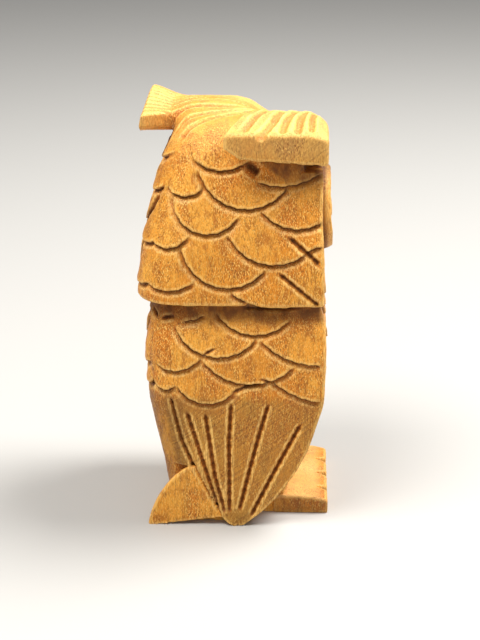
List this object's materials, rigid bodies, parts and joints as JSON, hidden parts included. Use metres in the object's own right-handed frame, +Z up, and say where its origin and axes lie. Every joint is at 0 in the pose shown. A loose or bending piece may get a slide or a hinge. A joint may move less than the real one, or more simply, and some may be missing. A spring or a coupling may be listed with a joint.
{
  "type": "owl figurine",
  "caption": "Rustic hand-carved wooden owl standing upright, with broad ear tufts, round eyes, a hooked beak, scaly feathers, folded fan-shaped wings, a short tail and toed feet.",
  "frame": {"origin": "centre of the flat base, on the axis of the square stick that the owl is carved from", "axes": "+Z up along the stick; the owl faces -Y, so its tail is towards +Y and its right ear tuft towards -X"},
  "size_m": [0.0712, 0.0675, 0.113],
  "materials": {
    "golden_wood": "satin",
    "pale_wood": "satin",
    "tawny_wood": "satin"
  },
  "bodies": {
    "root": {"head": "golden_wood", "crown": "pale_wood", "right_ear_tuft": "pale_wood", "left_ear_tuft": "pale_wood", "beak": "tawny_wood", "right_eye": "golden_wood", "left_eye": "golden_wood", "body": "tawny_wood", "right_wing": "golden_wood", "left_wing": "golden_wood", "tail": "tawny_wood", "right_foot": "pale_wood", "left_foot": "pale_wood"}
  },
  "joints": []
}
